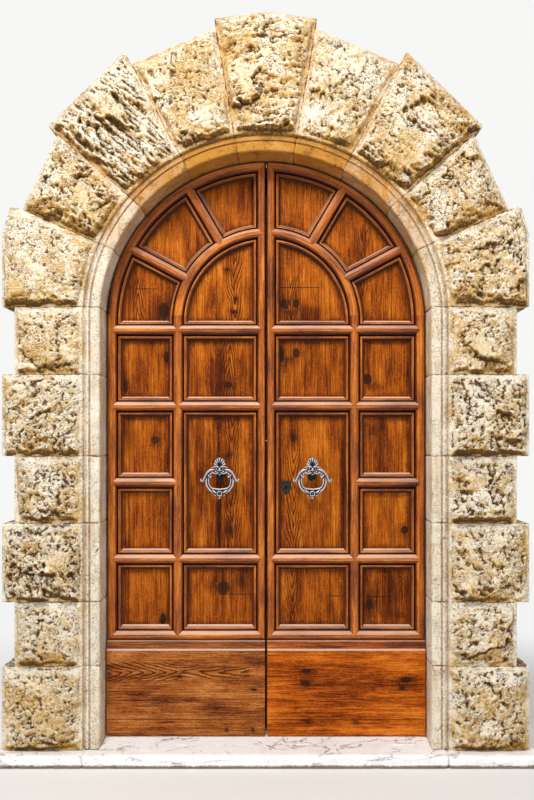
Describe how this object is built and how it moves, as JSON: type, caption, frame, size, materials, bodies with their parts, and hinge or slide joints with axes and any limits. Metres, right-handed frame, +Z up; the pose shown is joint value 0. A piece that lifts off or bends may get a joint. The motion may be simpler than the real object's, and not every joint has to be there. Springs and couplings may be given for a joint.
{
  "type": "arched double door",
  "caption": "Arched wooden double door with moulded panels and ring knockers, hung in a surround of rough-faced stone blocks.",
  "frame": {"origin": "on the underside of the threshold, midway between the jambs, in the plane of the face of the door's boards", "axes": "+X to the right seen from the street, +Y into the building, +Z up"},
  "size_m": [2.58, 0.405, 3.592],
  "materials": {
    "stone": "rough",
    "wood": "satin varnish",
    "cast_iron": "dark satin",
    "forged_iron": "dark satin"
  },
  "bodies": {
    "surround": {"threshold": "stone", "base_stones": "stone", "keystone": "stone", "left_jamb_1": "stone", "left_jamb_2": "stone", "left_jamb_3": "stone", "left_jamb_4": "stone", "left_jamb_5": "stone", "left_jamb_6": "stone", "left_voussoir_1": "stone", "left_voussoir_2": "stone", "left_voussoir_3": "stone", "left_voussoir_4": "stone", "right_jamb_1": "stone", "right_jamb_2": "stone", "right_jamb_3": "stone", "right_jamb_4": "stone", "right_jamb_5": "stone", "right_jamb_6": "stone", "right_voussoir_1": "stone", "right_voussoir_2": "stone", "right_voussoir_3": "stone", "right_voussoir_4": "stone", "pintles": "forged_iron", "top_bolt_staple": "forged_iron"},
    "left_leaf": {"left_hanging_stile": "wood", "left_meeting_stile": "wood", "left_muntin": "wood", "left_head": "wood", "left_arch_rib": "wood", "left_radial_bars": "wood", "left_rails": "wood", "left_kick_board": "wood", "left_kick_cap": "wood", "left_field_boards": "wood", "left_back_boards": "wood", "left_strap_hinges": "forged_iron", "left_knocker_mount": "cast_iron", "left_staples": "forged_iron"},
    "right_leaf": {"right_hanging_stile": "wood", "right_meeting_stile": "wood", "right_muntin": "wood", "right_head": "wood", "right_arch_rib": "wood", "right_radial_bars": "wood", "right_rails": "wood", "right_kick_board": "wood", "right_kick_cap": "wood", "right_field_boards": "wood", "right_back_boards": "wood", "right_strap_hinges": "forged_iron", "right_knocker_mount": "cast_iron", "escutcheon": "forged_iron", "lock_case": "forged_iron"},
    "left_knocker": {"left_knocker": "cast_iron"},
    "right_knocker": {"right_knocker": "cast_iron"},
    "lock_bolt": {"lock_bolt": "forged_iron"},
    "top_bolt": {"top_bolt": "forged_iron"},
    "bottom_bolt": {"bottom_bolt": "forged_iron"}
  },
  "joints": [
    {"name": "left_leaf_swing", "type": "hinge", "parent": "surround", "child": "left_leaf", "pos_m": [-0.848, 0.045, 0.31], "axis": [0, 0, 1], "range_deg": [0, 95]},
    {"name": "right_leaf_swing", "type": "hinge", "parent": "surround", "child": "right_leaf", "pos_m": [0.848, 0.045, 0.31], "axis": [0, 0, -1], "range_deg": [0, 95]},
    {"name": "left_knocker_swing", "type": "hinge", "parent": "left_leaf", "child": "left_knocker", "pos_m": [-0.229, -0.034, 1.427], "axis": [-1, 0, 0], "range_deg": [0, 80]},
    {"name": "right_knocker_swing", "type": "hinge", "parent": "right_leaf", "child": "right_knocker", "pos_m": [0.229, -0.034, 1.427], "axis": [-1, 0, 0], "range_deg": [0, 80]},
    {"name": "lock_bolt_slide", "type": "slide", "parent": "right_leaf", "child": "lock_bolt", "axis": [-1, 0, 0], "range_m": [0, 0.045]},
    {"name": "top_bolt_slide", "type": "slide", "parent": "left_leaf", "child": "top_bolt", "axis": [0, 0, 1], "range_m": [0, 0.03]},
    {"name": "bottom_bolt_slide", "type": "slide", "parent": "left_leaf", "child": "bottom_bolt", "axis": [0, 0, -1], "range_m": [0, 0.04]}
  ]
}
